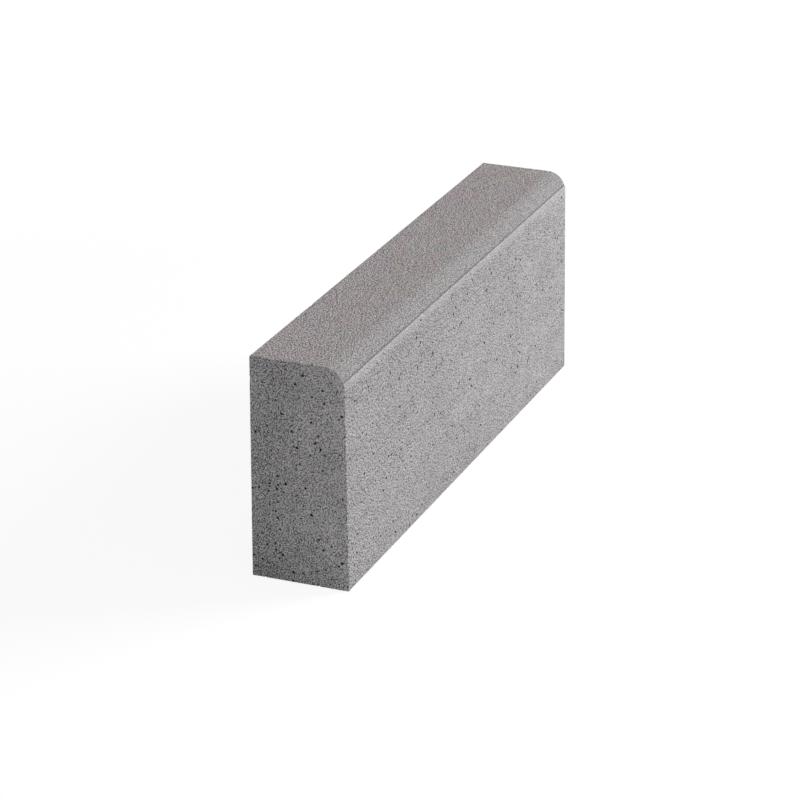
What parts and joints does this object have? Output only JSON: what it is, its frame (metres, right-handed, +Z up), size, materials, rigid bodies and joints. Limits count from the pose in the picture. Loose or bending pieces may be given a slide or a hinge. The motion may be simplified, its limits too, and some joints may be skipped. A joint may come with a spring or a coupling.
{
  "type": "concrete kerb stone",
  "caption": "Straight precast concrete kerb with a flat top and base, square ends, a slightly battered front and a rounded long top edge that ends in a small ledge.",
  "frame": {"origin": "centre of the base, on the ground the kerb stands on", "axes": "+Y along the kerb, +X out of the exposed front with the rounded top edge, +Z up"},
  "size_m": [0.08, 0.5, 0.18],
  "materials": {
    "concrete": "dry-pressed mid-grey concrete, fine sandy grain with small open pores, dull"
  },
  "bodies": {
    "root": {"kerb_stone": "concrete"}
  },
  "joints": []
}
